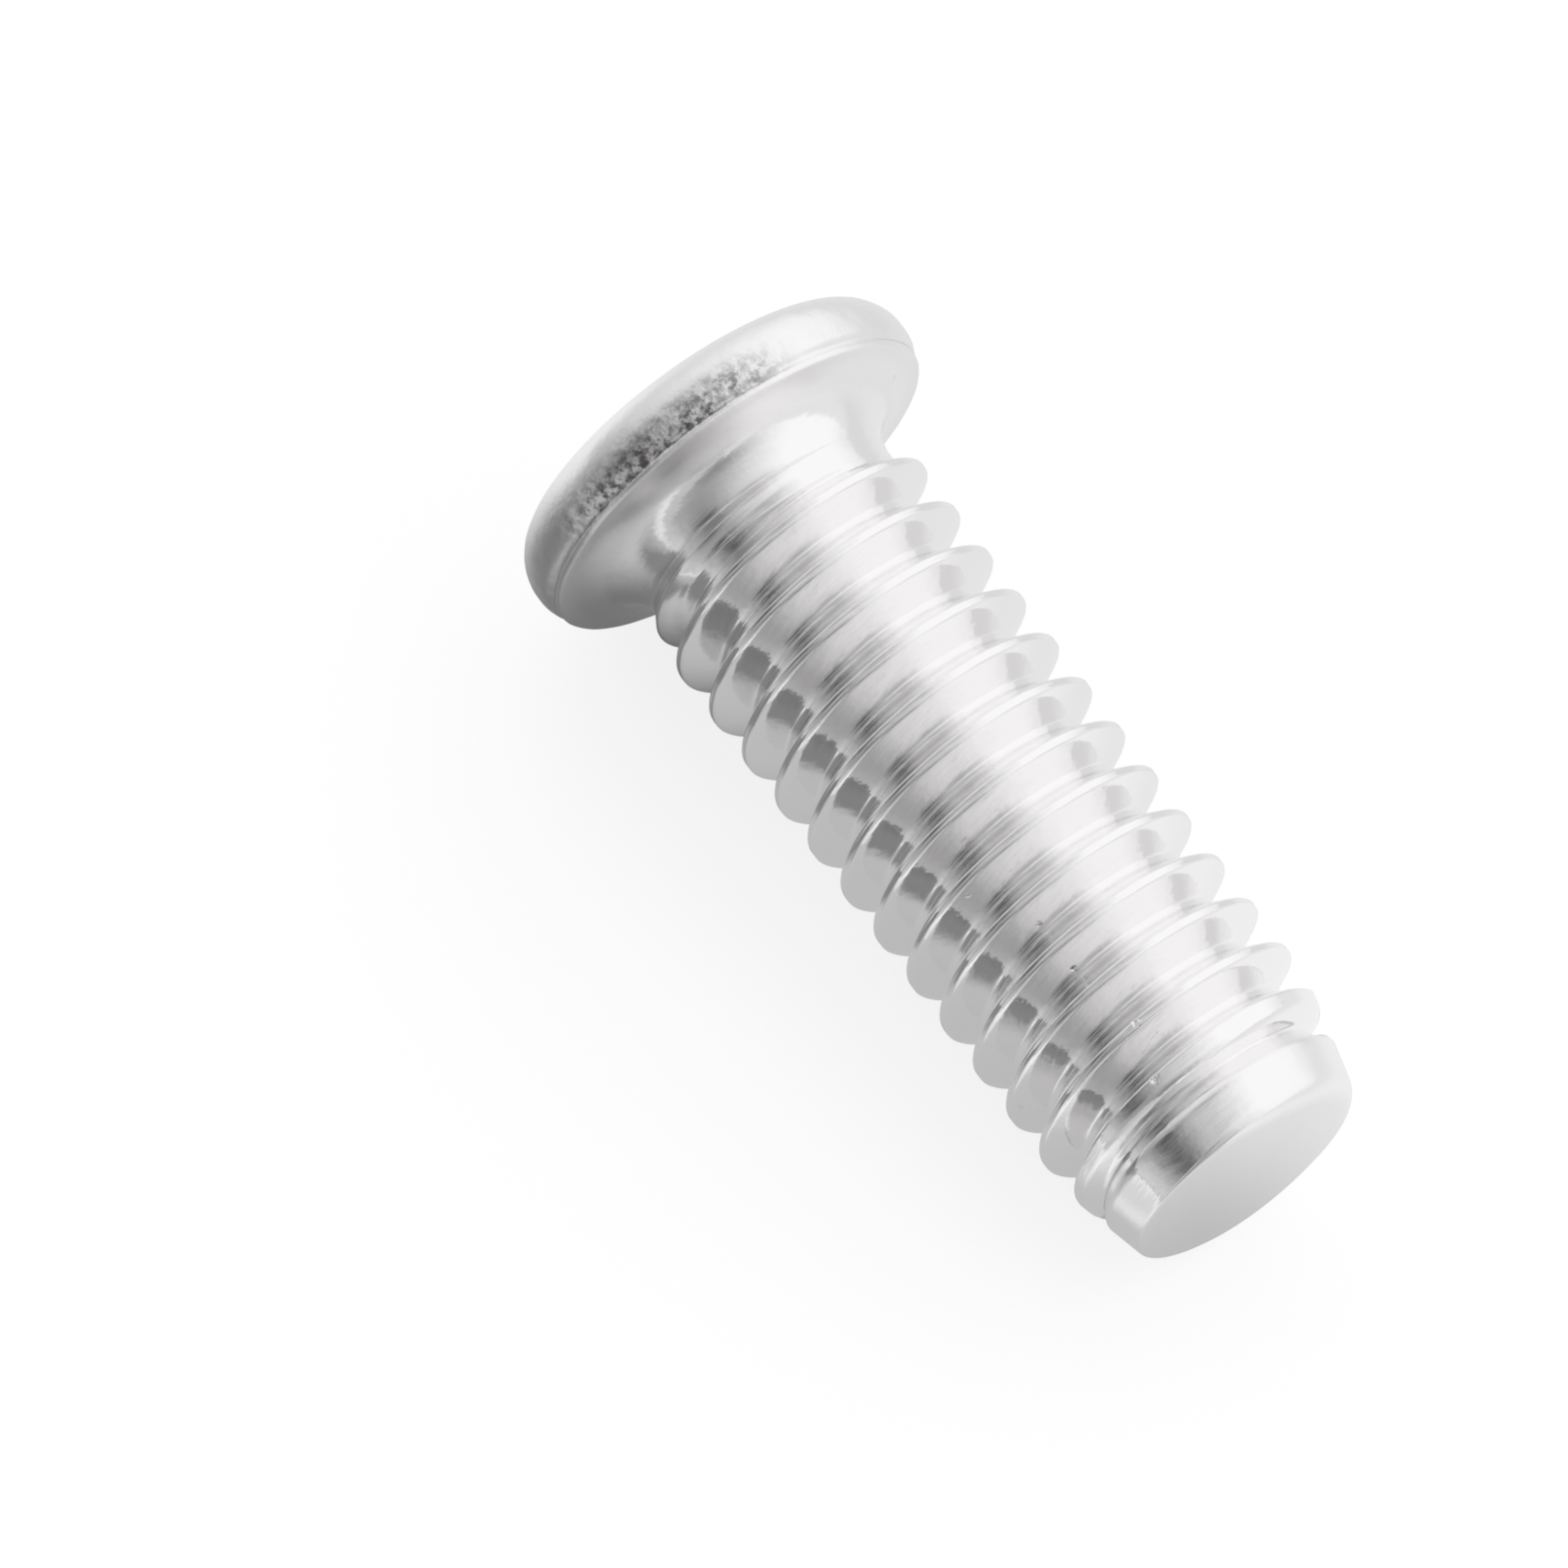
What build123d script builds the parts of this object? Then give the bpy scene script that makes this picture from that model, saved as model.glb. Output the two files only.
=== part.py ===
from build123d import *
import math
import os

# Weld stud with a rolled metric thread, lying on its side as it comes to rest on a table.
# It is one solid: ignition tip, weld face, flange, neck, threaded shank and chamfered end.
# Lengths are in millimetres and angles in degrees.
# Heights run along the stud's axis, from the edge of the weld face to the thread end.

# Thread: straight flanks, flat crest and flat root, right-handed
major_radius = 1.965
pitch = 0.7
crest_width = 0.09
root_width = 0.108
flank_angle = 30.0

# Height of a crest on the side of the stud that faces upwards
top_crest_height = 0.184

# Shank and neck: the crests stand above the neck by crest_rise, the first tooth rises out of the neck,
# and the first groove sinks into it
stud_length = 11.8
crest_rise = 0.25
tooth_rise_height = 1.6
tooth_rise_angle = 30.0
groove_sink_height = 1.95
groove_sink_angle = 45.0

# Thread end: a long shallow chamfer, over which the last groove fades, and a low dome with its edge broken
chamfer_height = 10.4
chamfer_angle = 13.7
groove_fade_height = 10.85
groove_fade_angle = 31.0
end_dome_height = 0.07
end_edge_chamfer = 0.05

# The chamfer lies a little off the axis, in a direction measured from the upward side
chamfer_offset = 0.05
chamfer_offset_angle = 106.0

# Flange: an elliptical rim, a sharp back edge and an elliptical fillet down to the neck
face_radius = 2.34
rim_bulge = 0.45
rim_height = 0.55
back_edge_height = 0.96
neck_height = 1.72

# Weld face and ignition tip, which is pinched off to an uneven ridge
weld_cone_angle = 3.0
tip_radius = 0.33
tip_length = 0.55
tip_root_flare = 0.06
tip_ridge_offset = 0.09
tip_steep_angle = 50.0
tip_shallow_angle = 27.0
tip_ridge_angle = 35.0

# How far solids run into each other before they are joined, and cuts run past a surface
overlap = 0.05

# Revolved pieces start on this side, clear of the start of each turn of thread
seam_angle = 132.0


def slope(angle):
    return math.tan(math.radians(angle))


# Sizes that follow from those above
minor_radius = major_radius - (pitch - crest_width - root_width) / (2 * slope(flank_angle))
neck_radius = major_radius - crest_rise
weld_cone_height = face_radius * slope(weld_cone_angle)
tip_root_height = tip_radius * slope(weld_cone_angle) - weld_cone_height
tip_end_height = -weld_cone_height - tip_length
rim_end_angle = math.degrees(math.asin((back_edge_height - rim_height) / rim_height))
back_edge_radius = face_radius + rim_bulge * math.cos(math.radians(rim_end_angle))
end_radius = major_radius - (stud_length - chamfer_height) * slope(chamfer_angle)
dome_radius = (end_radius**2 + end_dome_height**2) / (2 * end_dome_height)
foot_radius = minor_radius - overlap
foot_width = crest_width + 2 * (major_radius - foot_radius) * slope(flank_angle)

# Resting pose: the rim and the last full crest touch the table, so the axis dips to the thread end
bottom_crest_height = top_crest_height + pitch / 2
full_turns = math.floor((chamfer_height - crest_width / 2 - bottom_crest_height) / pitch)
contact_height = bottom_crest_height + full_turns * pitch + crest_width / 2
tilt = 0.0
for step in range(20):
    rim_reach = math.hypot(rim_bulge, rim_height * math.tan(tilt))
    tilt = math.atan((face_radius + rim_reach - major_radius) / (contact_height - rim_height))
sin_tilt = math.sin(tilt)
cos_tilt = math.cos(tilt)
left_reach = -tip_end_height * cos_tilt
right_reach = stud_length * cos_tilt + end_radius * sin_tilt

# The stud's own plane: its normal is the axis, towards the thread end, and its x is the upward side
stud = Plane(
    origin=(
        (left_reach - right_reach) / 2,
        0,
        contact_height * sin_tilt + major_radius * cos_tilt,
    ),
    x_dir=(sin_tilt, 0, cos_tilt),
    z_dir=(cos_tilt, 0, -sin_tilt),
)
stud_axis = Axis(stud.origin, stud.z_dir)


def radial(angle):
    turn = math.radians(angle)
    return stud.x_dir * math.cos(turn) + stud.y_dir * math.sin(turn)


# Half sections have the radius as their x and the height along the stud as their y
def half_section(angle, centre=stud.origin):
    return Plane(origin=centre, x_dir=radial(angle), z_dir=radial(angle - 90))


chamfer_centre = stud.origin + radial(chamfer_offset_angle) * chamfer_offset
chamfer_axis = Axis(chamfer_centre, stud.z_dir)

with BuildPart() as weld_stud:
    # Core of the shank, from inside the flange to beyond the end
    first_turn_height = top_crest_height + pitch
    core_start = first_turn_height - pitch
    with BuildSketch(Plane(stud.origin + stud.z_dir * core_start, stud.x_dir, stud.z_dir)):
        Circle(minor_radius)
    extrude(amount=stud_length + 2 * pitch - core_start)

    # Thread tooth, one turn at a time
    turns = math.ceil((stud_length - first_turn_height) / pitch)
    for turn in range(turns):
        turn_height = first_turn_height + turn * pitch
        turn_centre = stud.origin + stud.z_dir * turn_height
        with BuildLine(Plane(turn_centre)) as turn_path:
            Helix(pitch, pitch, minor_radius, direction=stud.z_dir)
        with BuildSketch(half_section(0, turn_centre)):
            Polygon(
                (foot_radius, -foot_width / 2),
                (foot_radius, foot_width / 2),
                (major_radius, crest_width / 2),
                (major_radius, -crest_width / 2),
                align=None,
            )
        sweep(path=turn_path.line, is_frenet=True)

    # Start of the tooth: it rises out of the neck along a cone
    rise_inside = neck_radius - overlap
    rise_outside = major_radius + overlap
    rise_start = tooth_rise_height - overlap / slope(tooth_rise_angle)
    rise_end = rise_start + (rise_outside - rise_inside) / slope(tooth_rise_angle)
    with BuildSketch(half_section(seam_angle)):
        Polygon(
            (rise_inside, 0),
            (rise_outside, 0),
            (rise_outside, rise_end),
            (rise_inside, rise_start),
            align=None,
        )
    revolve(axis=stud_axis, mode=Mode.SUBTRACT)

    # Plain end: the root of the thread widens until the last groove is gone
    fade_outside = major_radius + overlap
    fade_start = groove_fade_height - overlap / slope(groove_fade_angle)
    fade_end = fade_start + (fade_outside - foot_radius) / slope(groove_fade_angle)
    with BuildSketch(half_section(seam_angle)):
        Polygon(
            (0, fade_start),
            (foot_radius, fade_start),
            (fade_outside, fade_end),
            (fade_outside, stud_length + pitch),
            (0, stud_length + pitch),
            align=None,
        )
    revolve(axis=stud_axis)

    # Tip, weld face, rim, underside and neck
    sink_inside = min(neck_radius, minor_radius) - overlap
    sink_end = groove_sink_height + (neck_radius - sink_inside) / slope(groove_sink_angle)
    with BuildSketch(half_section(seam_angle)) as head:
        with BuildLine():
            Polyline(
                (0, tip_end_height),
                (tip_radius, tip_end_height),
                (tip_radius, tip_root_height),
                (face_radius, 0),
            )
            EllipticalCenterArc(
                (face_radius, rim_height),
                rim_bulge,
                rim_height,
                start_angle=-90,
                arc_size=90 + rim_end_angle,
            )
            EllipticalCenterArc(
                (back_edge_radius, neck_height),
                back_edge_radius - neck_radius,
                neck_height - back_edge_height,
                start_angle=180,
                arc_size=90,
            )
            Polyline(
                (neck_radius, neck_height),
                (neck_radius, groove_sink_height),
                (sink_inside, sink_end),
                (0, sink_end),
                (0, tip_end_height),
            )
        make_face()
        tip_root = head.vertices().sort_by_distance((tip_radius, tip_root_height))[0]
        chamfer(tip_root, tip_root_flare)
    revolve(axis=stud_axis)

    # Pinched end of the tip
    pinch_reach = tip_radius + overlap
    pinch_plane = half_section(tip_ridge_angle)
    with BuildSketch(pinch_plane):
        Polygon(
            (tip_ridge_offset, tip_end_height),
            (pinch_reach, tip_end_height + (pinch_reach - tip_ridge_offset) * slope(tip_steep_angle)),
            (pinch_reach, tip_end_height - overlap),
            (-pinch_reach, tip_end_height - overlap),
            (-pinch_reach, tip_end_height + (pinch_reach + tip_ridge_offset) * slope(tip_shallow_angle)),
            align=None,
        )
    extrude(amount=pinch_reach, both=True, mode=Mode.SUBTRACT)

    # End chamfer and dome, cut in one pass
    chamfer_start = chamfer_height - overlap / slope(chamfer_angle)
    with BuildSketch(half_section(seam_angle, chamfer_centre)) as end_cutter:
        with BuildLine():
            RadiusArc((0, stud_length + end_dome_height), (end_radius, stud_length), dome_radius)
            Polyline(
                (end_radius, stud_length),
                (major_radius + overlap, chamfer_start),
                (major_radius + 4 * overlap, chamfer_start),
                (major_radius + 4 * overlap, stud_length + 3 * pitch),
                (0, stud_length + 3 * pitch),
                (0, stud_length + end_dome_height),
            )
        make_face()
        end_edge = end_cutter.vertices().sort_by_distance((end_radius, stud_length))[0]
        chamfer(end_edge, end_edge_chamfer)
    revolve(axis=chamfer_axis, mode=Mode.SUBTRACT)

weld_stud.part.label = "weld_stud"
os.makedirs("parts", exist_ok=True)
export_step(weld_stud.part, "parts/weld_stud.step")
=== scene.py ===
import math

import bpy
import numpy as np
from mathutils import Matrix, Vector, noise


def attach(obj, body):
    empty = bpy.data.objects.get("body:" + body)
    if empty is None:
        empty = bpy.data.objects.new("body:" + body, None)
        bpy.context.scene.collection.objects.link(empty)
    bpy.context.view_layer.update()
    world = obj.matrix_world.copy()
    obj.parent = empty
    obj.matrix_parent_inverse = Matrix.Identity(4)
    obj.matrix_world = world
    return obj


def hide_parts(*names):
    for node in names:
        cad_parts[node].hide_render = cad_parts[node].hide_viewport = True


# The weld stud's visible skin, its metal, a plain pale studio and the camera.
# The skin is one closed mesh. Its points are given by heights along the stud's axis from the edge of the weld
# face, radii from the axis and angles round it from the upward side, in millimetres until the mesh is made.

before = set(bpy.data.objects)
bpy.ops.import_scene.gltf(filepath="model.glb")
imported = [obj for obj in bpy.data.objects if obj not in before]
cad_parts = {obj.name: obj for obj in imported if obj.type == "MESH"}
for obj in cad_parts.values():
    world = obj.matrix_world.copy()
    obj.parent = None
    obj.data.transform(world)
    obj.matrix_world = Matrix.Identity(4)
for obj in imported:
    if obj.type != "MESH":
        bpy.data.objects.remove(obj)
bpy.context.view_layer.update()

# ---- sizes of the stud, in millimetres and degrees, as in the part's source
MAJOR, MINOR, PITCH = 1.965, 1.53, 0.7
CREST_WIDTH = 0.09
TOP_CREST = 0.184
LENGTH = 11.8
NECK = 1.715
FACE_RADIUS = 2.34
RIM_BULGE, RIM_HEIGHT = 0.45, 0.55
BACK_HEIGHT = 0.96
NECK_HEIGHT = 1.72
TOOTH_RISE, TOOTH_RISE_ANGLE = 1.6, math.radians(30.0)
GROOVE_SINK, GROOVE_SINK_ANGLE = 1.95, math.radians(45.0)
CONE_ANGLE = math.radians(3.0)
TIP_RADIUS, TIP_LENGTH = 0.33, 0.55
RIDGE_OFFSET, RIDGE_TURN = 0.09, math.radians(35.0)
STEEP, SHALLOW = math.radians(50.0), math.radians(27.0)
CHAMFER_HEIGHT, CHAMFER_ANGLE = 10.4, math.radians(13.7)
CHAMFER_OFFSET, CHAMFER_TURN = 0.05, math.radians(106.0)
END_DOME = 0.07
FADE_HEIGHT, FADE_ANGLE = 10.85, math.radians(31.0)
MM = 0.001

# The skin lies this far inside the solid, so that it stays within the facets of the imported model
INSET = 0.004

CONE_HEIGHT = FACE_RADIUS * math.tan(CONE_ANGLE)
TIP_ROOT = TIP_RADIUS * math.tan(CONE_ANGLE) - CONE_HEIGHT
TIP_END = -CONE_HEIGHT - TIP_LENGTH
RIM_END = math.asin((BACK_HEIGHT - RIM_HEIGHT) / RIM_HEIGHT)
BACK_RADIUS = FACE_RADIUS + RIM_BULGE * math.cos(RIM_END)
FILLET_HEIGHT = NECK_HEIGHT - BACK_HEIGHT
FILLET_WIDTH = BACK_RADIUS - NECK
END_RADIUS = MAJOR - (LENGTH - CHAMFER_HEIGHT) * math.tan(CHAMFER_ANGLE)

# ---- the stud's own axes in the row frame: it lies on its rim and its last full crest
first_low_crest = TOP_CREST + PITCH / 2
turns_below = math.floor((CHAMFER_HEIGHT - CREST_WIDTH / 2 - first_low_crest) / PITCH)
contact_height = first_low_crest + turns_below * PITCH + CREST_WIDTH / 2
tilt = 0.0
for step in range(20):
    rim_reach = math.hypot(RIM_BULGE, RIM_HEIGHT * math.tan(tilt))
    tilt = math.atan((FACE_RADIUS + rim_reach - MAJOR) / (contact_height - RIM_HEIGHT))
SIN, COS = math.sin(tilt), math.cos(tilt)
AXIS = np.array([COS, 0.0, -SIN])
UP_SIDE = np.array([SIN, 0.0, COS])
SIDE = np.array([0.0, -1.0, 0.0])
ORIGIN = np.array([
    (-TIP_END * COS - (LENGTH * COS + END_RADIUS * SIN)) / 2,
    0.0,
    contact_height * SIN + MAJOR * COS,
])


# ---- shape helpers
def smooth_min(a, b, k):
    h = np.clip(0.5 + 0.5 * (b - a) / k, 0, 1)
    return b * (1 - h) + a * h - k * h * (1 - h)


def smooth_max(a, b, k):
    return -smooth_min(-a, -b, k)


def ease(x):
    x = np.clip(x, 0, 1)
    return x * x * (3 - 2 * x)


def bell(x):
    return np.exp(-x ** 2)


def above(value, start, width):
    """0 up to the start, easing to 1 a width beyond it."""
    return ease((value - start) / width)


def below(value, end, width):
    """1 until a width before the end, easing to 0 at it."""
    return ease((end - value) / width)


def facing(angle, middle, reach, softness):
    """1 round the middle of a side of the stud, easing to 0 at its reach either way, in degrees."""
    away = np.abs((np.degrees(angle) - middle + 180) % 360 - 180)
    return ease((reach - away) / softness)


def grain(s, angle, size, seed=0.0, stretch=1.0, radius=2.0):
    """Smooth seeded noise over heights and angles, about -0.5 to 0.5, with lumps of a size in mm."""
    s, angle = np.broadcast_arrays(np.asarray(s, float), np.asarray(angle, float))
    x = radius * np.cos(angle) / (size * stretch)
    y = radius * np.sin(angle) / (size * stretch)
    z = s / size + seed
    values = [noise.noise(Vector(p)) for p in zip(x.ravel(), y.ravel(), z.ravel())]
    return np.array(values).reshape(s.shape)


class Skin:
    """Collects rings of points, given by height, radius and angle, and the faces between them."""

    def __init__(self):
        self.points, self.faces, self.count = [], [], 0

    def ring(self, height, radius, angle):
        height, radius, angle = np.broadcast_arrays(height, radius, angle)
        start = self.count
        x, y = radius * np.cos(angle), radius * np.sin(angle)
        self.points.append(np.stack([height, x, y], axis=-1))
        self.count += len(angle)
        return np.arange(start, self.count)

    def join(self, a, b):
        """Faces between two rings, of which one may have three times as many points."""
        if len(a) == len(b):
            for i in range(len(a)):
                j = (i + 1) % len(a)
                self.faces.append((a[i], a[j], b[j], b[i]))
            return
        flip = len(a) > len(b)
        fine, coarse = (a, b) if flip else (b, a)
        for i in range(len(coarse)):
            j = (i + 1) % len(coarse)
            rim = [fine[(i * 3 + m) % len(fine)] for m in range(4)]
            faces = [
                (coarse[i], rim[0], rim[1]),
                (coarse[i], rim[1], rim[2]),
                (coarse[j], rim[2], rim[3]),
            ]
            faces = [face if flip else face[::-1] for face in faces]
            bridge = (coarse[i], rim[2], coarse[j])
            faces.append(bridge if flip else bridge[::-1])
            self.faces.extend(faces)

    def join_all(self, rings):
        for a, b in zip(rings[:-1], rings[1:]):
            self.join(a, b)


COLUMNS = 160
FINE = 3 * COLUMNS
turn = np.arange(COLUMNS) * 2 * math.pi / COLUMNS
fine_turn = np.arange(FINE) * 2 * math.pi / FINE
skin = Skin()

# ---- ignition tip: a stub that was torn off along an uneven ridge, with small ribs down its side
TORN_LIFT, TORN_ROUGHNESS, TORN_CALM_RADIUS = 0.012, 0.10, 0.1
NOTCH_DEPTH, NOTCH_SHIFT, NOTCH_LENGTH, NOTCH_WIDTH = 0.13, 0.03, 0.1, 0.16
RIBS, RIB_DEPTH, RIB_TURN = 9, 0.022, 0.6
BEVEL, BEVEL_START, BEVEL_SHARE = 0.03, 0.89, 0.11
FLARE_RADIUS, FLARE_HEIGHT = TIP_RADIUS * 1.2, 0.055
TIP_WOBBLE = 0.008


def face_height(radius):
    return -(FACE_RADIUS - radius) * math.tan(CONE_ANGLE)


def tip_end_height(radius, angle):
    across = radius * np.cos(angle - RIDGE_TURN)
    along = radius * np.sin(angle - RIDGE_TURN)
    past = across - RIDGE_OFFSET
    slope = np.where(past > 0, past * math.tan(STEEP), -past * math.tan(SHALLOW))
    notch = NOTCH_DEPTH * bell((along + NOTCH_SHIFT) / NOTCH_LENGTH)
    notch = notch * bell((past + NOTCH_SHIFT) / NOTCH_WIDTH)
    rough = TORN_ROUGHNESS * (0.5 + grain(along * 3, across * 3, 0.35, seed=4.0))
    return TIP_END + TORN_LIFT + slope + notch + rough * np.clip(radius / TORN_CALM_RADIUS, 0, 1)


def tip_side(angle):
    ribs = 0.5 + 0.5 * np.cos(RIBS * angle + 2 * np.sin(2 * angle))
    return TIP_RADIUS - INSET - RIB_DEPTH * ribs * (0.5 + 0.5 * np.cos(angle - RIB_TURN))


rings = []
for f in (0.12, 0.3, 0.48, 0.64, 0.78, 0.89, 0.96, 1.0):
    radius = f * tip_side(turn)
    bevel = BEVEL * max(0.0, f - BEVEL_START) / BEVEL_SHARE
    rings.append(skin.ring(tip_end_height(radius, turn) + bevel, radius, turn))
torn_edge = tip_end_height(tip_side(turn), turn) + BEVEL
flare_start = TIP_ROOT - FLARE_HEIGHT
for f in (0.12, 0.3, 0.5, 0.7, 0.9, 1.0):
    height = torn_edge + (flare_start - torn_edge) * f
    wobble = TIP_WOBBLE * grain(height, turn, 0.12, seed=9.0, radius=TIP_RADIUS)
    rings.append(skin.ring(height, tip_side(turn) - np.abs(wobble), turn))
for f in (0.25, 0.5, 0.75, 1.0):
    swing = f * math.pi / 2
    radius = tip_side(turn) + (FLARE_RADIUS - tip_side(turn)) * (1 - math.cos(swing))
    height = flare_start + (face_height(radius) - flare_start) * math.sin(swing)
    rings.append(skin.ring(height, radius, turn))

# ---- weld face
for radius in (0.46, 0.56, 0.7, 0.9, 1.15, 1.4, 1.7, 2.0):
    rings.append(skin.ring(face_height(radius), radius, turn))
for radius in (2.15, 2.27):
    rings.append(skin.ring(face_height(radius), radius, fine_turn))

# ---- rim: frosted all round, with hammering and pits on the side that the photograph shows pitted,
# and a shallow groove beside the back edge
RIM_INSET = INSET + 0.002
FROST_DEPTH, PIT_DEPTH = 0.008, 0.011
RIM_GRAIN_RADIUS = 2.7
GROOVE, GROOVE_WIDTH = 0.835, 0.055
GROOVE_DEPTH, GROOVE_EXTRA_DEPTH = 0.014, 0.046
RIM_START, RIM_MIDDLE = -math.pi / 2 + 0.06, 0.25


# The pitted side of the rim: its pits are real relief, and the metal there is also painted darker in spots,
# as painted shade in the pits
def pits_and_shade_zone(s, angle):
    return facing(angle, 26, 46, 26) * above(s, 0.32, 0.45) * below(s, 0.91, 0.05)


def rim_dent(s, angle):
    """How far the rim lies below its smooth ellipse."""
    frosted = FROST_DEPTH * (0.5 + grain(s, angle, 0.24, seed=1.0, radius=RIM_GRAIN_RADIUS))
    spots = ease(0.35 + 1.8 * grain(s, angle, 0.10, seed=2.0, stretch=1.6, radius=RIM_GRAIN_RADIUS))
    pits = PIT_DEPTH * pits_and_shade_zone(s, angle) * spots
    return RIM_INSET + np.clip(frosted, 0, None) + pits


def groove(s, angle):
    depth = GROOVE_DEPTH + GROOVE_EXTRA_DEPTH * facing(angle, 20, 95, 50)
    return depth * bell((s - GROOVE) / GROOVE_WIDTH)


groove_turn = math.asin((GROOVE - RIM_HEIGHT) / RIM_HEIGHT)
rim_turns = [*np.linspace(RIM_START, RIM_MIDDLE, 22), *np.linspace(RIM_MIDDLE, groove_turn, 10)[1:]]
for t in rim_turns:
    height = RIM_HEIGHT + (RIM_HEIGHT - INSET) * math.sin(t)
    dent = rim_dent(height, fine_turn) + groove(height, fine_turn)
    rings.append(skin.ring(height, FACE_RADIUS + (RIM_BULGE - dent) * math.cos(t), fine_turn))

# ---- back edge: a narrow bead, rounded towards the rim and crisp towards the underside
# Each round has its own radius, the radius and height of its centre, and the angles of its rings
BEAD = (0.07, BACK_RADIUS - 0.018, BACK_HEIGHT - 0.055, (-50, -25, 0, 20))
CORNER = (0.015, BACK_RADIUS + 0.02, BACK_HEIGHT - 0.017, (40, 65, 88))
BEAD_WEAR = 0.006
worn = BEAD_WEAR * (0.5 + grain(0, fine_turn, 0.3, seed=5.0, radius=2.6))
for round_radius, centre_radius, centre_height, ring_angles in (BEAD, CORNER):
    for a in ring_angles:
        a = math.radians(a)
        radius = centre_radius - worn + round_radius * math.cos(a)
        rings.append(skin.ring(centre_height + round_radius * math.sin(a), radius, fine_turn))

# ---- underside: an elliptical fillet down to the neck, slightly rippled. The shank's rows start on it
SHANK_START = 1.52
FILLET_START = 0.09
RIPPLE = 0.006


def underside_radius(s):
    drop = np.clip(NECK_HEIGHT - s, 0, FILLET_HEIGHT) / FILLET_HEIGHT
    return BACK_RADIUS - FILLET_WIDTH * np.sqrt(1 - drop ** 2)


shank_start_turn = math.acos((NECK_HEIGHT - SHANK_START) / FILLET_HEIGHT)
for t in np.linspace(FILLET_START, shank_start_turn, 19)[:-1]:
    height = NECK_HEIGHT - FILLET_HEIGHT * math.cos(t)
    ripple = RIPPLE * grain(height, fine_turn, 0.3, seed=7.0, stretch=3.0)
    ripple = ripple * above(t, 0, 0.4) * below(height, SHANK_START, 0.1)
    rings.append(skin.ring(height + ripple, BACK_RADIUS - FILLET_WIDTH * math.sin(t), fine_turn))
low_ring = skin.ring(SHANK_START, underside_radius(SHANK_START), turn)
rings.append(low_ring)
skin.join_all(rings)
skin.faces.append(tuple(rings[0][::-1]))

# ---- shank: rows that follow the helix, clamped to the neck ring and to the ring where the end edge starts
FLANK_SLOPE = math.sqrt(3)
CREST_ROUND, ROOT_ROUND, BLEND_ROUND, CHAMFER_ROUND = 0.05, 0.045, 0.04, 0.03
SEAM_DEPTH, SEAM_WIDTH = 0.026, 0.022
END_ROUND, END_EXTRA_ROUND = 0.05, 0.29

# Heights of the rows within one turn, above the crest: close together where the tooth curves
HALF_TURN = [0, 0.02, 0.038, 0.055, 0.075, 0.12, 0.185, 0.245, 0.275, 0.293, 0.31, 0.33]
phases = HALF_TURN + [PITCH / 2] + [PITCH - v for v in HALF_TURN[:0:-1]]
ROWS = len(phases)

# The end edge is an arc. It starts ARC_REACH of its radius below the corner that it rounds, which lies
# END_CLEARANCE below the solid's. The rows end ROW_CLEARANCE short of the rings that they are joined to
ARC_START, ARC_END = CHAMFER_ANGLE, math.radians(85.07)
ARC_REACH = 0.6978
END_CLEARANCE = 0.001
ROW_CLEARANCE = 0.004


def end_round(angle):
    """Radius of the rounded end edge: crisp on one side and worn soft on the other."""
    return END_ROUND + END_EXTRA_ROUND * facing(angle, -75, 118, 60)


def shank_radius(s, angle):
    """The thread, with its start at the neck, its fading last groove and the end chamfer."""
    off_crest = (s - TOP_CREST - PITCH * angle / (2 * math.pi)) / PITCH
    off_crest = np.abs(off_crest - np.round(off_crest)) * PITCH
    r = smooth_min(MAJOR + (CREST_WIDTH / 2 - off_crest) * FLANK_SLOPE, MAJOR, CREST_ROUND)
    rough = 0.6 + 0.5 * grain(s, angle, 0.4, seed=11.0, radius=MAJOR)
    full = above(s, 2.0, 0.4) * below(s, CHAMFER_HEIGHT, 0.3)
    r = r - SEAM_DEPTH * rough * full * bell(off_crest / SEAM_WIDTH)
    r = smooth_max(r, MINOR, ROOT_ROUND)
    r = smooth_min(r, NECK + (s - TOOTH_RISE) * math.tan(TOOTH_RISE_ANGLE), BLEND_ROUND)
    sink = np.clip(s - GROOVE_SINK, 0, None) * math.tan(GROOVE_SINK_ANGLE)
    r = smooth_max(r, underside_radius(s) - sink, BLEND_ROUND)
    r = smooth_max(r, MINOR + (s - FADE_HEIGHT) * math.tan(FADE_ANGLE), BLEND_ROUND)
    chamfer = END_RADIUS + (LENGTH - s) * math.tan(CHAMFER_ANGLE) - 1.5 * INSET
    chamfer = chamfer + CHAMFER_OFFSET * np.cos(angle - CHAMFER_TURN)
    return smooth_min(r, chamfer, CHAMFER_ROUND)


arc_height = LENGTH - END_CLEARANCE - ARC_REACH * end_round(turn)
first_turn = math.floor((SHANK_START - PITCH - TOP_CREST) / PITCH) - 1
last_turn = math.ceil((LENGTH - TOP_CREST) / PITCH) + 1
row_heights = np.array([TOP_CREST + PITCH * m + v for m in range(first_turn, last_turn) for v in phases])
heights = row_heights[:, None] + PITCH * turn[None, :] / (2 * math.pi)
angles = np.repeat(turn[None, :], len(row_heights), 0)
inside = (heights > SHANK_START + ROW_CLEARANCE) & (heights < arc_height - ROW_CLEARANCE)
radii = shank_radius(heights, angles)
index = np.zeros(heights.shape, int)
index[inside] = skin.ring(heights[inside], radii[inside], angles[inside])
arc_radius = shank_radius(arc_height, turn)
high_ring = skin.ring(arc_height, arc_radius, turn)
for j in range(COLUMNS):
    index[heights[:, j] <= SHANK_START + ROW_CLEARANCE, j] = low_ring[j]
    index[heights[:, j] >= arc_height[j] - ROW_CLEARANCE, j] = high_ring[j]

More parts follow.
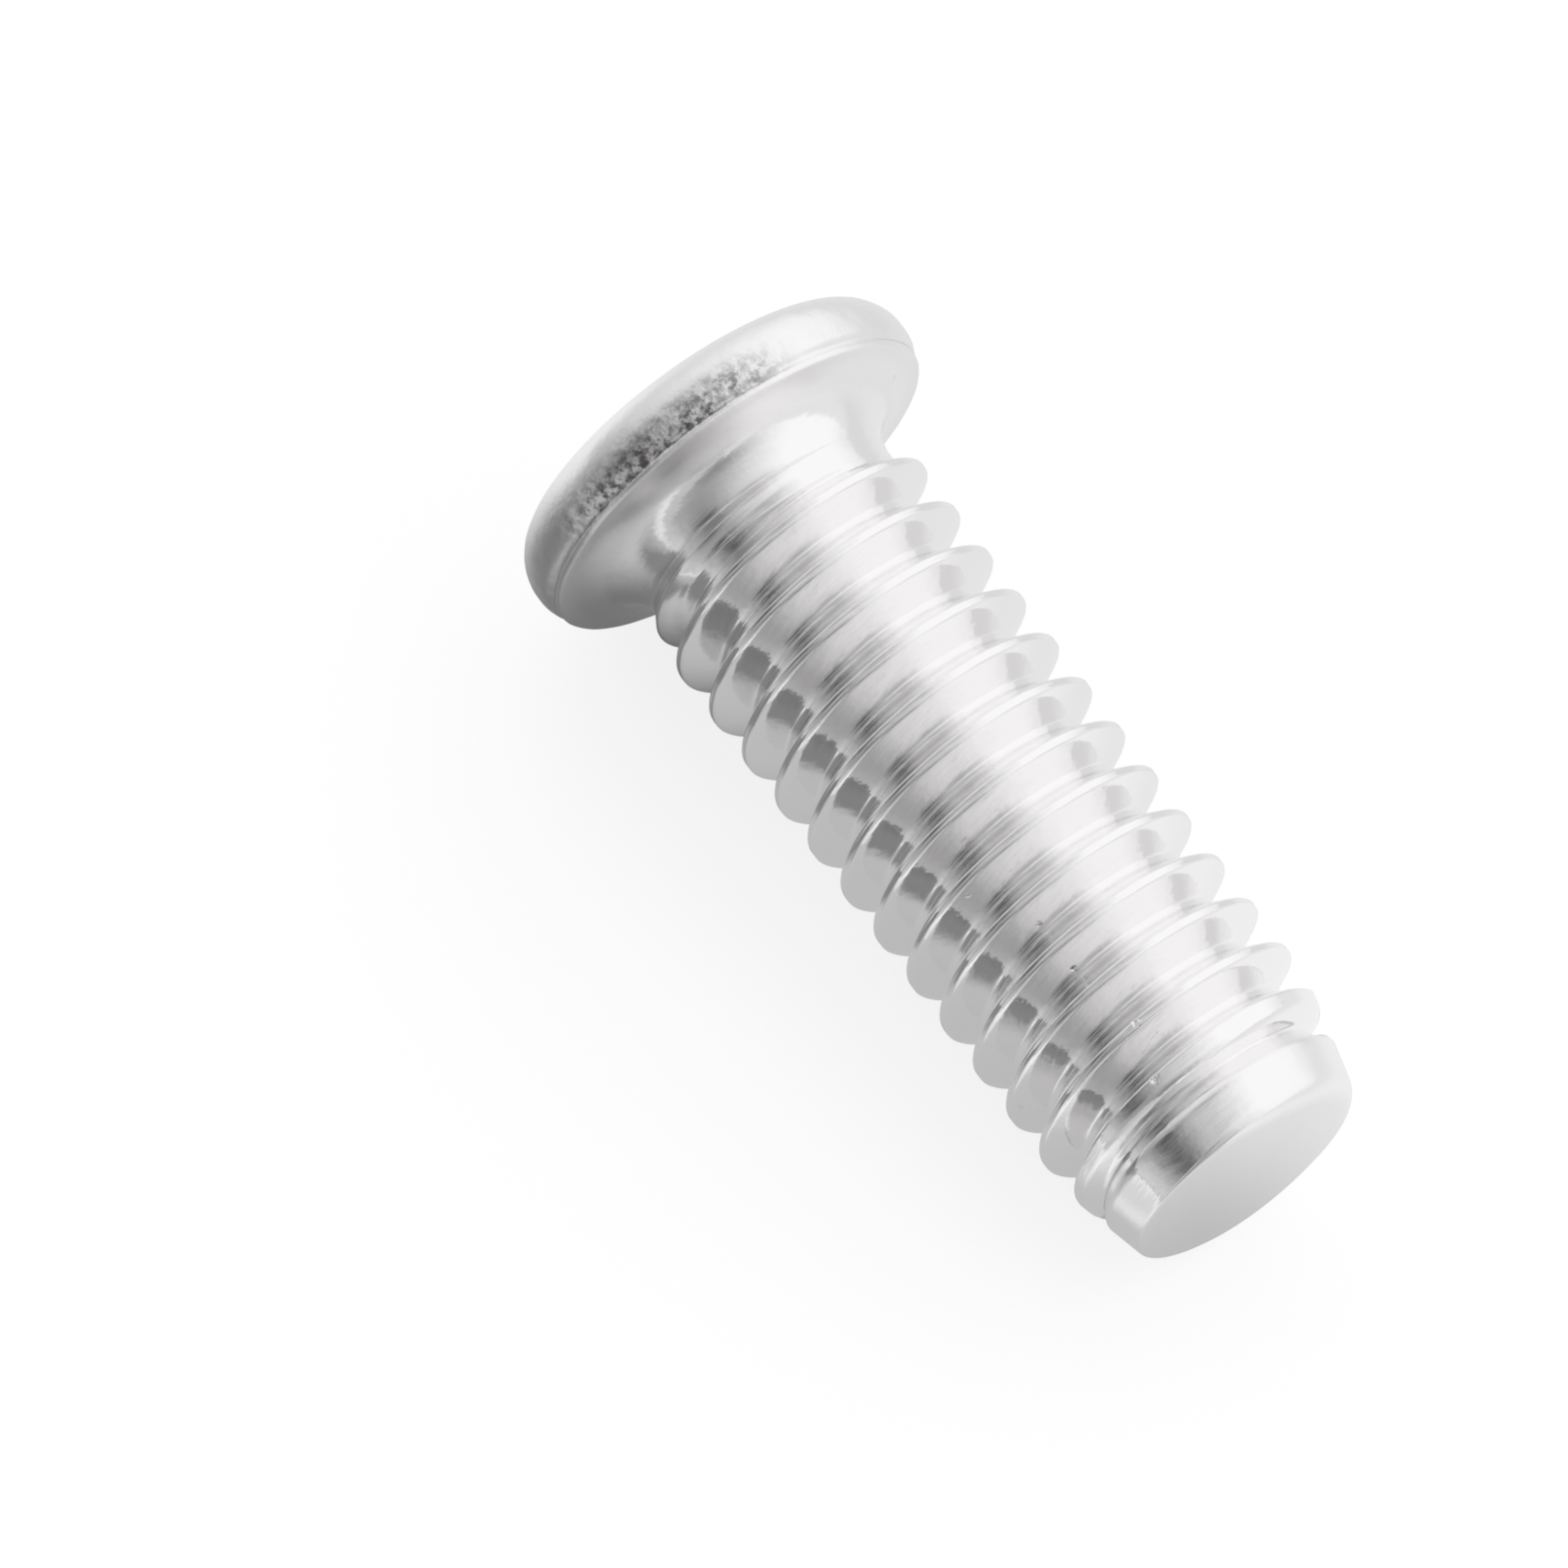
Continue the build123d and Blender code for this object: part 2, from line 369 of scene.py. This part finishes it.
# The last column meets the first one a turn higher up
index = np.concatenate([index[:-ROWS], index[ROWS:, :1]], axis=1)
for i in range(len(index) - 1):
    for j in range(COLUMNS):
        face = [index[i, j], index[i, j + 1], index[i + 1, j + 1], index[i + 1, j]]
        face = [v for n, v in enumerate(face) if v != face[n - 1]]
        if len(face) > 2 and len(set(face)) == len(face):
            skin.faces.append(tuple(face))

# ---- end edge, with a short fine seam beside its crisp part, and the domed end
EDGE_SEAM_DEPTH, EDGE_SEAM_STEP = 0.012, 2
end_rings = [high_ring]
arc_steps = np.linspace(0, 1, 8)
for t in arc_steps[1:]:
    a = ARC_START + (ARC_END - ARC_START) * t
    seam = EDGE_SEAM_DEPTH * facing(turn, 36, 24, 8) if t == arc_steps[EDGE_SEAM_STEP] else 0
    radius = arc_radius - end_round(turn) * (math.cos(ARC_START) - math.cos(a)) - seam
    height = arc_height + end_round(turn) * (math.sin(a) - math.sin(ARC_START)) - seam
    end_rings.append(skin.ring(height, radius, turn))
for f in (0.96, 0.9, 0.8, 0.68, 0.55, 0.42, 0.3, 0.2, 0.1, 0.04):
    x = radius * f * np.cos(turn) + CHAMFER_OFFSET * (1 - f) * math.cos(CHAMFER_TURN)
    y = radius * f * np.sin(turn) + CHAMFER_OFFSET * (1 - f) * math.sin(CHAMFER_TURN)
    dome = height + (LENGTH + END_DOME - height) * (1 - f * f)
    end_rings.append(skin.ring(dome, np.hypot(x, y), np.arctan2(y, x)))
skin.join_all(end_rings)
skin.faces.append(tuple(end_rings[-1]))

# ---- the mesh
stud_points = np.concatenate(skin.points)
row_points = (ORIGIN + stud_points @ np.array([AXIS, UP_SIDE, SIDE])) * MM
mesh = bpy.data.meshes.new("weld_stud_skin")
mesh.from_pydata(row_points.tolist(), [], [tuple(int(v) for v in f) for f in skin.faces])
mesh.polygons.foreach_set("use_smooth", np.ones(len(mesh.polygons), bool))
stud = bpy.data.objects.new("stud_body", mesh)
bpy.context.scene.collection.objects.link(stud)
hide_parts("weld_stud")
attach(stud, "root")

# ---- where each finish lies, and where the painted shade of the pits lies, painted on the points
point_height = stud_points[:, 0]
point_radius = np.hypot(stud_points[:, 1], stud_points[:, 2])
point_angle = np.arctan2(stud_points[:, 2], stud_points[:, 1])
RIM_INNER_RADIUS = 2.3


def paint(name, values):
    layer = mesh.attributes.new(name, "FLOAT", "POINT")
    layer.data.foreach_set("value", np.asarray(values, np.float32))


along = mesh.attributes.new("along", "FLOAT_VECTOR", "POINT")
along.data.foreach_set("vector", stud_points.astype(np.float32).ravel())
weld_face = below(point_height, 0.07, 0.06)
end_face = above(point_height - LENGTH, -0.06, 0.08)
paint("rim", below(point_height, BACK_HEIGHT + 0.03, 0.05) * above(point_height, -0.01, 0.12))
paint("faces", np.maximum(weld_face, end_face))
paint("end_side", above(point_height, 10.8, 0.4) * facing(point_angle, -90, 110, 60))
paint("neck", above(point_height, 0.98, 0.1) * below(point_height, 2.6, 0.9))
paint("satin", below(point_height, 1.17, 0.09) * above(point_height, 0.93, 0.04))
paint("pits_and_shade_zone", np.where(point_radius > RIM_INNER_RADIUS, pits_and_shade_zone(point_height, point_angle), 0))


# ---- node helpers
def add(tree, kind, **settings):
    made = tree.nodes.new(kind)
    for name, value in settings.items():
        setattr(made, name, value)
    return made


def feed(tree, socket, value):
    """Links a socket to another, or sets its value."""
    if isinstance(value, bpy.types.NodeSocket):
        tree.links.new(value, socket)
    else:
        socket.default_value = value


def feed_all(tree, made, values):
    for socket, value in zip(made.inputs, values):
        feed(tree, socket, value)
    return made.outputs[0]


def maths(tree, operation, *values, clamp=False):
    return feed_all(tree, add(tree, "ShaderNodeMath", operation=operation, use_clamp=clamp), values)


def times(tree, value, *others):
    for other in others:
        value = maths(tree, "MULTIPLY", value, other)
    return value


def plus(tree, value, *others):
    for other in others:
        value = maths(tree, "ADD", value, other)
    return value


def minus(tree, value, other):
    return maths(tree, "SUBTRACT", value, other)


def bell_of(tree, value):
    return maths(tree, "EXPONENT", times(tree, value, value, -1.0))


def spread(tree, value, low, high, to_low, to_high, kind="SMOOTHSTEP"):
    made = add(tree, "ShaderNodeMapRange", interpolation_type=kind)
    return feed_all(tree, made, (value, low, high, to_low, to_high))


def combine(tree, x, y, z):
    return feed_all(tree, add(tree, "ShaderNodeCombineXYZ"), (x, y, z))


def attribute(tree, name):
    return add(tree, "ShaderNodeAttribute", attribute_name=name)


def speckle(tree, vector, scale, detail=2.0, rough=0.5):
    made = add(tree, "ShaderNodeTexNoise")
    feed(tree, made.inputs["Vector"], vector)
    made.inputs["Scale"].default_value = scale
    made.inputs["Detail"].default_value = detail
    made.inputs["Roughness"].default_value = rough
    return made.outputs["Fac"]


# ---- metal: bright where it was rolled, frosted on the rim, with painted shade in its pits, and satin on the weld face,
# the end face, the neck, the underside next to the back edge and one side of the thread end
metal = bpy.data.materials.new("bright_metal")
metal.use_nodes = True
tree = metal.node_tree
shader = tree.nodes["Principled BSDF"]
shader.inputs["Metallic"].default_value = 1.0

where = attribute(tree, "along").outputs["Vector"]
PAINTS = ("rim", "faces", "neck", "pits_and_shade_zone", "end_side", "satin")
rim, faces, neck, pits, end_side, satin = (attribute(tree, name).outputs["Fac"] for name in PAINTS)
parts = add(tree, "ShaderNodeSeparateXYZ")
feed(tree, parts.inputs[0], where)
s, x, y = parts.outputs
from_axis = maths(tree, "SQRT", plus(tree, times(tree, x, x), times(tree, y, y)))


def round_the_axis(around, lengthwise, outwards):
    """Coordinates for streaks that run round the stud, with how fast they change in each direction."""
    return combine(
        tree,
        times(tree, maths(tree, "DIVIDE", x, from_axis), around),
        times(tree, maths(tree, "DIVIDE", y, from_axis), around),
        plus(tree, times(tree, s, lengthwise), times(tree, from_axis, outwards)),
    )


streaks = speckle(tree, round_the_axis(5.0, 22.0, 9.0), 1.0, 3.0, 0.6)
waves = speckle(tree, round_the_axis(3.0, 9.0, 6.0), 1.0, 2.0, 0.5)
lumps = speckle(tree, where, 4.5, 2.0, 0.5)
frost = speckle(tree, where, 15.0, 3.0, 0.6)
pit_and_shade_grain = speckle(tree, where, 9.0, 4.0, 0.65)
blotches = speckle(tree, where, 3.2, 3.0, 0.6)

# Roughness of the rolled metal, and what each finish adds to it
roughness = 0.05
for finish, extra in (
    (lumps, 0.07), (rim, 0.20), (faces, 0.22), (neck, 0.05), (end_side, 0.14), (satin, 0.20),
):
    roughness = plus(tree, roughness, times(tree, finish, extra))
feed(tree, shader.inputs["Roughness"], roughness)

# Painted shade: the pitted side of the rim is mixed towards DARK in spots, standing in for the shade in its
# pits
BRIGHT, DARK = (0.95, 0.94, 0.944, 1), (0.18, 0.17, 0.18, 1)
dark_spots = spread(tree, pit_and_shade_grain, 0.40, 0.58, 0.2, 1)
dark_areas = spread(tree, blotches, 0.38, 0.52, 0.4, 1)
colour = add(tree, "ShaderNodeMix", data_type="RGBA")
feed(tree, colour.inputs["Factor"], times(tree, pits, times(tree, dark_spots, dark_areas)))
colour.inputs["A"].default_value = BRIGHT
colour.inputs["B"].default_value = DARK
feed(tree, shader.inputs["Base Color"], colour.outputs["Result"])

# Nicks that the photograph shows: height, radius, angle and size
NICKS = (
    (9.571, 1.85, 90.6, 0.05),
    (10.007, 1.969, 17.8, 0.045),
    (1.013, 2.301, -73.7, 0.05),
    (7.391, 1.819, 40.1, 0.03),
    (8.181, 1.616, 26.2, 0.035),
    (8.892, 1.597, 25.9, 0.035),
    (10.694, 1.901, 24.8, 0.045),
    (11.814, 1.21, -145.3, 0.05),
)
nicks = None
for nick_height, nick_radius, nick_angle, size in NICKS:
    nick_angle = math.radians(nick_angle)
    gap = add(tree, "ShaderNodeVectorMath", operation="DISTANCE")
    feed(tree, gap.inputs[0], where)
    gap.inputs[1].default_value = (
        nick_height, nick_radius * math.cos(nick_angle), nick_radius * math.sin(nick_angle),
    )
    nick = bell_of(tree, maths(tree, "DIVIDE", gap.outputs["Value"], size))
    nicks = nick if nicks is None else plus(tree, nicks, nick)
nicks = times(tree, nicks, spread(tree, speckle(tree, where, 14.0), 0.35, 0.65, -1.0, 0.0))


def bump(height, distance, strength, normal=None):
    made = add(tree, "ShaderNodeBump")
    made.inputs["Distance"].default_value = distance
    feed(tree, made.inputs["Strength"], strength)
    feed(tree, made.inputs["Height"], height)
    if normal is not None:
        feed(tree, made.inputs["Normal"], normal)
    return made.outputs["Normal"]


# Fine relief: what it follows, its depth in metres and where it shows
unrolled = maths(tree, "MAXIMUM", maths(tree, "MAXIMUM", rim, faces), satin)
shank = maths(tree, "SUBTRACT", 1.0, unrolled, clamp=True)
frosted = maths(tree, "ADD", rim, times(tree, faces, 0.15), clamp=True)
normal = None
for relief, distance, strength in (
    (streaks, 3.0e-6, shank),
    (waves, 7.5e-6, shank),
    (lumps, 4.0e-6, 1.0),
    (frost, 5.0e-6, frosted),
    (pit_and_shade_grain, 1.4e-5, pits),
    (nicks, 2.4e-5, 1.0),
):
    normal = bump(relief, distance, strength, normal)
feed(tree, shader.inputs["Normal"], normal)
mesh.materials.append(metal)

# ---- light from all round, dimmed in places as by soft grey cards in a studio. The camera sees it white
world = bpy.data.worlds.new("world")
bpy.context.scene.world = world
world.use_nodes = True
sky = world.node_tree
direction = add(sky, "ShaderNodeTexCoord").outputs["Generated"]


def towards(vector):
    made = add(sky, "ShaderNodeVectorMath", operation="DOT_PRODUCT")
    feed(sky, made.inputs[0], direction)
    made.inputs[1].default_value = Vector(vector).normalized()
    return made.outputs["Value"]


# Azimuth and elevation in degrees, how much light the card takes at its middle, and its softness
CARDS = (
    (-124.5, 77, 0.46, 0.33),
    (-123, 12, 0.54, 0.43),
    (-91, 37, 0.66, 0.26),
    (-38, 20, 0.64, 0.60),
    (-68, 33, 0.30, 0.22),
    (94, -15, 0.27, 0.41),
    (-5, 3, 0.50, 0.22),
    (178, 8, 0.30, 0.55),
)
# What the cards leave, from the darkest to the lightest, and how bright the sky is there
CARD_RANGE, SKY_RANGE = (0.14, 0.88), (0.05, 1.0)
level = None
for card_azimuth, card_elevation, taken, softness in CARDS:
    card_azimuth, card_elevation = math.radians(card_azimuth), math.radians(card_elevation)
    reach = towards((
        math.cos(card_elevation) * math.cos(card_azimuth),
        math.cos(card_elevation) * math.sin(card_azimuth),
        math.sin(card_elevation),
    ))
    fall = maths(sky, "EXPONENT", maths(sky, "DIVIDE", minus(sky, reach, 1.0), softness ** 2))
    left = minus(sky, 1.0, times(sky, fall, taken))
    level = left if level is None else times(sky, level, left)
level = spread(sky, level, *CARD_RANGE, *SKY_RANGE, "LINEAR")
rays = add(sky, "ShaderNodeLightPath")
seen = maths(sky, "MAXIMUM", level, rays.outputs["Is Camera Ray"])
feed(sky, sky.nodes["Background"].inputs["Color"], combine(sky, seen, seen, seen))
sky.nodes["Background"].inputs["Strength"].default_value = 1.0

# ---- floor: plain and pale. The camera sees it lifted to white, with the stud's soft shadow on it
FLOOR_SIDE = 0.6
PALE, PALE_TO_CAMERA, GLOW_TO_CAMERA = 0.9, 0.35, 0.77
MIRROR_DIMMING = 0.75
bpy.ops.mesh.primitive_plane_add(size=FLOOR_SIDE, location=(0, 0, 0))
floor = bpy.context.object
floor.name = "floor"
floor_material = bpy.data.materials.new("floor")
floor_material.use_nodes = True
ground = floor_material.node_tree
matt = ground.nodes["Principled BSDF"]
matt.inputs["Roughness"].default_value = 1.0
matt.inputs["Specular IOR Level"].default_value = 0.0
rays = add(ground, "ShaderNodeLightPath")
to_camera = rays.outputs["Is Camera Ray"]
mirrored = maths(ground, "MAXIMUM", rays.outputs["Is Glossy Ray"], rays.outputs["Is Transmission Ray"])
shade = spread(ground, to_camera, 0, 1, PALE, PALE_TO_CAMERA, "LINEAR")
# For glossy and transmission rays the floor's own colour is dimmed, so that the painted glow below sets what
# they see
shade = minus(ground, shade, times(ground, mirrored, MIRROR_DIMMING))
feed(ground, matt.inputs["Base Color"], combine(ground, shade, shade, shade))

# The floor glows for glossy and transmission rays with painted light and shade, so that reflections in the
# metal show it darker and lighter in places. The numbers are brightnesses, and places on the floor in
# millimetres. First comes the floor on the stud's -Y side and past its thread end
place = add(ground, "ShaderNodeSeparateXYZ")
feed(ground, place.inputs[0], add(ground, "ShaderNodeTexCoord").outputs["Object"])
floor_x, floor_y = (times(ground, place.outputs[i], 1000.0) for i in (0, 1))
NEAR_LEFT, NEAR_RIGHT, CLOSE, BEYOND = 0.12, 0.36, 0.46, 0.80
near = spread(ground, floor_x, -1.0, 2.5, NEAR_LEFT, NEAR_RIGHT)
close = spread(ground, floor_y, -7.2, -4.4, near, CLOSE)
past_end = times(
    ground,
    spread(ground, floor_x, 4.4, 5.6, 0.0, 0.24),
    spread(ground, floor_y, -4.5, -3.0, 1.0, 0.0),
)
past_end = plus(ground, past_end, spread(ground, floor_x, 6.2, 8.5, 0.0, 0.16))
past_end = times(ground, past_end, spread(ground, floor_x, 9.0, 14.0, 1.0, 0.2))
close = plus(ground, close, past_end)

# A dark band of painted shade runs out there from the stud, wider as it goes, and the floor is painted
# lighter beyond it
BAND_START, BAND_AZIMUTH = (-3.9, -0.6), math.radians(-113.8)
BAND_WIDTH, BAND_SPREAD, BAND_DEPTH = 1.7, 0.3, 0.80
band_cos, band_sin = math.cos(BAND_AZIMUTH), math.sin(BAND_AZIMUTH)
x_off = minus(ground, floor_x, BAND_START[0])
y_off = minus(ground, floor_y, BAND_START[1])
out = plus(ground, times(ground, x_off, band_cos), times(ground, y_off, band_sin))
off = minus(ground, times(ground, y_off, band_cos), times(ground, x_off, band_sin))
width = plus(ground, BAND_WIDTH, times(ground, maths(ground, "MAXIMUM", out, 0.0), BAND_SPREAD))
off = maths(ground, "DIVIDE", off, width)
side = times(ground, plus(ground, maths(ground, "TANH", off), 1.0), 0.5)
front = plus(ground, BEYOND, times(ground, side, minus(ground, close, BEYOND)))
band = minus(ground, 1.0, times(ground, bell_of(ground, off), BAND_DEPTH))
front = times(ground, front, band)

# On the +Y side the floor is painted light, and painted slightly darker far out and towards the weld end
FAR, FAR_OUT = 0.79, 0.70
behind = spread(ground, floor_y, 5.0, 12.0, FAR, FAR_OUT)
behind = times(ground, behind, spread(ground, floor_x, 0.0, 5.0, 0.9, 1.02))
to_behind = spread(ground, floor_y, -0.6, 2.3, 0.0, 1.0)
painted_floor_reflection = plus(ground, front, times(ground, to_behind, minus(ground, behind, front)))
# The floor glows white to the camera. To glossy and transmission rays it glows with the painted light and
# shade above, though it is no lamp
glow = plus(ground, times(ground, to_camera, GLOW_TO_CAMERA), times(ground, mirrored, painted_floor_reflection))
matt.inputs["Emission Color"].default_value = (1, 1, 1, 1)
feed(ground, matt.inputs["Emission Strength"], glow)
floor.data.materials.append(floor_material)

# ---- camera, at the photograph's viewing angle. There the stud's axis comes out of the picture plane by
# INCLINATION, runs down to the right at SLANT, and is at MID_PIXEL where its height is MID_HEIGHT
FRAME_SIDE = 1569
SCALE = 82.4  # pixels a millimetre
DISTANCE = 260.0
MID_HEIGHT = 6.0
MID_PIXEL = (977.0, 804.2)
INCLINATION, SLANT = math.radians(17.6), math.radians(53.28)
SENSOR = 36
axis_in_view = (
    math.cos(INCLINATION) * math.cos(SLANT),
    -math.cos(INCLINATION) * math.sin(SLANT),
    math.sin(INCLINATION),
)
azimuth = math.asin(-axis_in_view[0] / COS)
axis_length = math.hypot(COS * math.cos(azimuth), SIN)
axis_dip = math.atan2(SIN, COS * math.cos(azimuth))
elevation = math.acos(axis_in_view[2] / axis_length) - axis_dip
back = Vector((
    math.cos(elevation) * math.cos(azimuth),
    math.cos(elevation) * math.sin(azimuth),
    math.sin(elevation),
))
right = Vector((-math.sin(azimuth), math.cos(azimuth), 0))
up = back.cross(right)
middle = Vector(ORIGIN + AXIS * MID_HEIGHT)
pixels_right, pixels_down = (pixel - FRAME_SIDE / 2 for pixel in MID_PIXEL)
aim = middle - right * pixels_right / SCALE + up * pixels_down / SCALE
camera_data = bpy.data.cameras.new("camera")
camera_data.sensor_width = SENSOR
camera_data.lens = SENSOR * DISTANCE * SCALE / FRAME_SIDE
camera_data.clip_start = 0.001
camera_data.clip_end = 10
camera = bpy.data.objects.new("camera", camera_data)
bpy.context.scene.collection.objects.link(camera)
turned = Matrix((right, up, back)).transposed().to_4x4()
turned.translation = (aim + back * DISTANCE) * MM
camera.matrix_world = turned
bpy.context.scene.camera = camera

bpy.context.scene.view_settings.view_transform = "Standard"
